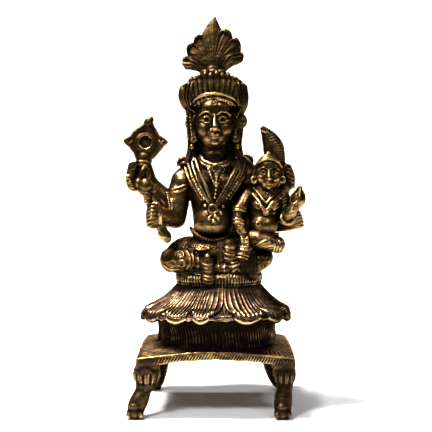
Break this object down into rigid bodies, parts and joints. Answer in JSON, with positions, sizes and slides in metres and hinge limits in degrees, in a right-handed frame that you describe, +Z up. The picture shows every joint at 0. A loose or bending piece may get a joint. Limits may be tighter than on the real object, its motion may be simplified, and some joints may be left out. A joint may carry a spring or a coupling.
{
  "type": "vishnu figure",
  "caption": "Small cast brass shrine figure of a seated four-armed god with his consort on his knee, on a lotus drum over a low stool with splayed legs.",
  "frame": {"origin": "on the ground, under the middle of the stool", "axes": "+Z up, the figure faces -Y, and its own right hand is on the -X side"},
  "size_m": [0.0718, 0.0536, 0.1542],
  "materials": {
    "stool_brass": "dark brown patina over cast brass, hatched with fine strokes, rubbed golden along the edges",
    "figure_brass": "dark brown patina in the hollows of lost-wax cast brass, rubbed to a warm gold on the raised parts"
  },
  "bodies": {
    "root": {"four_legged_stool": "stool_brass", "deity_group_on_lotus": "figure_brass"}
  },
  "joints": []
}
